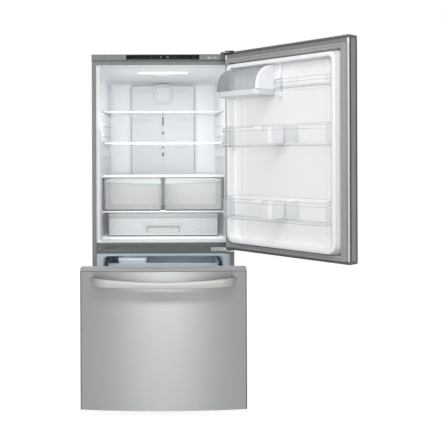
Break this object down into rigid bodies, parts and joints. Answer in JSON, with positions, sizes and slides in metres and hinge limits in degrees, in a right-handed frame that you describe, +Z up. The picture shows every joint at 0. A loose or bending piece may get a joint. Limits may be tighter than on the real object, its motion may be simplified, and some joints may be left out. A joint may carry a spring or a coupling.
{
  "type": "bottom freezer refrigerator",
  "caption": "Free-standing stainless refrigerator with a swing door above and a pull-out freezer drawer below, with shelves, crispers, door bins and slides.",
  "frame": {"origin": "centre of the front left levelling leg's pad, on the floor", "axes": "+Z up, +Y towards the back of the case, +X to the right as seen from the front"},
  "size_m": [1.2723, 1.3334, 1.741],
  "materials": {
    "stainless_steel": "brushed, satin",
    "handle_metal": "brushed, satin",
    "case_paint": "fine textured grey paint",
    "galvanised_sheet": "galvanised",
    "hinge_steel": "zinc plated",
    "slide_steel": "zinc plated",
    "trim_plastic": "satin light grey",
    "cap_plastic": "satin grey",
    "dark_plastic": "satin dark grey",
    "black_plastic": "matt black",
    "liner_plastic": "semi-gloss white",
    "freezer_plastic": "semi-gloss cool white",
    "insulation": "raw foam",
    "gasket_rubber": "soft matt grey",
    "display_black": "polished black",
    "clear_plastic": "clear, polished",
    "smoky_plastic": "clear grey, polished",
    "shelf_glass": "clear glass in a moulded rim",
    "guide_plastic": "polished white",
    "lamp_lens": "frosted white",
    "tray_plastic": "light grey",
    "compressor_paint": "semi-gloss black",
    "coil_aluminium": "mill finish"
  },
  "bodies": {
    "cabinet": {"outer_case": "case_paint", "back_panel": "galvanised_sheet", "chassis_base": "galvanised_sheet", "cabinet_foam": "insulation", "fresh_food_liner": "liner_plastic", "freezer_liner": "freezer_plastic", "mullion_cover": "cap_plastic", "control_housing": "trim_plastic", "display_panel": "display_black", "top_hinge": "hinge_steel", "top_hinge_cover": "dark_plastic", "mid_hinge": "hinge_steel", "toe_grille": "dark_plastic", "air_duct_cover": "liner_plastic", "air_filter_cap": "guide_plastic", "light_lens": "lamp_lens", "upper_shelf": "shelf_glass", "middle_shelf": "shelf_glass", "crisper_cover": "smoky_plastic", "evaporator": "coil_aluminium", "evaporator_cover": "freezer_plastic", "compressor": "compressor_paint", "condenser": "slide_steel", "machine_cover": "galvanised_sheet", "power_inlet": "black_plastic", "fixed_rails": "slide_steel"},
    "door": {"door_skin": "stainless_steel", "door_foam": "insulation", "door_liner": "liner_plastic", "door_gasket": "gasket_rubber", "door_top_cap": "dark_plastic", "door_bottom_cap": "dark_plastic", "door_handle": "handle_metal", "dairy_box": "guide_plastic", "small_bin": "clear_plastic", "middle_bin": "clear_plastic", "lower_bin": "clear_plastic"},
    "freezer_drawer": {"drawer_skin": "stainless_steel", "drawer_foam": "insulation", "drawer_liner": "liner_plastic", "drawer_gasket": "gasket_rubber", "drawer_top_cap": "cap_plastic", "drawer_handle": "handle_metal", "freezer_basket": "freezer_plastic", "drawer_frame": "slide_steel"},
    "dairy_lid": {"dairy_lid": "smoky_plastic"},
    "middle_bottle_guide": {"middle_bottle_guide": "guide_plastic"},
    "lower_bottle_guide": {"lower_bottle_guide": "guide_plastic"},
    "middle_rail_left": {"middle_rail_left": "slide_steel"},
    "middle_rail_right": {"middle_rail_right": "slide_steel"},
    "crisper_left": {"crisper_left": "clear_plastic"},
    "crisper_right": {"crisper_right": "clear_plastic"},
    "pantry_drawer": {"pantry_drawer": "liner_plastic"},
    "freezer_tray": {"freezer_tray": "tray_plastic"},
    "switch_button": {"switch_button": "dark_plastic"},
    "evaporator_fan": {"evaporator_fan": "black_plastic"},
    "condenser_fan": {"condenser_fan": "black_plastic"},
    "rear_rollers": {"rear_rollers": "black_plastic"},
    "levelling_leg_left": {"levelling_leg_left": "black_plastic"},
    "levelling_leg_right": {"levelling_leg_right": "black_plastic"}
  },
  "joints": [
    {"name": "door_hinge", "type": "hinge", "parent": "cabinet", "child": "door", "pos_m": [0.691, -0.088, 0.7], "axis": [0, 0, 1], "range_deg": [-131.5, 3.5]},
    {"name": "freezer_drawer_slide", "type": "slide", "parent": "cabinet", "child": "freezer_drawer", "axis": [0, -1, 0], "range_m": [-0.475, 0.03]},
    {"name": "middle_rail_left_slide", "type": "slide", "parent": "cabinet", "child": "middle_rail_left", "axis": [0, -1, 0], "range_m": [-0.2375, 0.015]},
    {"name": "middle_rail_right_slide", "type": "slide", "parent": "cabinet", "child": "middle_rail_right", "axis": [0, -1, 0], "range_m": [-0.2375, 0.015]},
    {"name": "crisper_left_slide", "type": "slide", "parent": "cabinet", "child": "crisper_left", "axis": [0, -1, 0], "range_m": [0, 0.25]},
    {"name": "crisper_right_slide", "type": "slide", "parent": "cabinet", "child": "crisper_right", "axis": [0, -1, 0], "range_m": [0, 0.25]},
    {"name": "pantry_drawer_slide", "type": "slide", "parent": "cabinet", "child": "pantry_drawer", "axis": [0, -1, 0], "range_m": [0, 0.3]},
    {"name": "freezer_tray_slide", "type": "slide", "parent": "cabinet", "child": "freezer_tray", "axis": [0, -1, 0], "range_m": [0, 0.3]},
    {"name": "dairy_lid_hinge", "type": "hinge", "parent": "door", "child": "dairy_lid", "pos_m": [0.86729, -0.41403, 1.623], "axis": [-0.6626, 0.749, 0], "range_deg": [0, 70]},
    {"name": "middle_bottle_guide_slide", "type": "slide", "parent": "door", "child": "middle_bottle_guide", "axis": [-0.6626, 0.749, 0], "range_m": [-0.08, 0.095]},
    {"name": "lower_bottle_guide_slide", "type": "slide", "parent": "door", "child": "lower_bottle_guide", "axis": [-0.6626, 0.749, 0], "range_m": [-0.08, 0.095]},
    {"name": "switch_button_press", "type": "slide", "parent": "cabinet", "child": "switch_button", "axis": [0, 1, 0], "range_m": [0, 0.004], "stiffness_N_per_m": 400},
    {"name": "evaporator_fan_spin", "type": "hinge", "parent": "cabinet", "child": "evaporator_fan", "pos_m": [0.33, 0.477, 0.57], "axis": [0, 1, 0], "continuous": true},
    {"name": "condenser_fan_spin", "type": "hinge", "parent": "cabinet", "child": "condenser_fan", "pos_m": [0.313, 0.55, 0.1183], "axis": [1, 0, 0], "continuous": true},
    {"name": "rear_roller_spin", "type": "hinge", "parent": "cabinet", "child": "rear_rollers", "pos_m": [0.33, 0.6, 0.015], "axis": [1, 0, 0], "continuous": true},
    {"name": "levelling_leg_left_turn", "type": "hinge", "parent": "cabinet", "child": "levelling_leg_left", "pos_m": [0, 0, 0.01], "axis": [0, 0, 1], "continuous": true},
    {"name": "levelling_leg_right_turn", "type": "hinge", "parent": "cabinet", "child": "levelling_leg_right", "pos_m": [0.66, 0, 0.01], "axis": [0, 0, 1], "continuous": true}
  ],
  "couplings": [
    {"joint": "middle_rail_left_slide", "follows": "freezer_drawer_slide", "ratio": 0.5},
    {"joint": "middle_rail_right_slide", "follows": "freezer_drawer_slide", "ratio": 0.5}
  ]
}
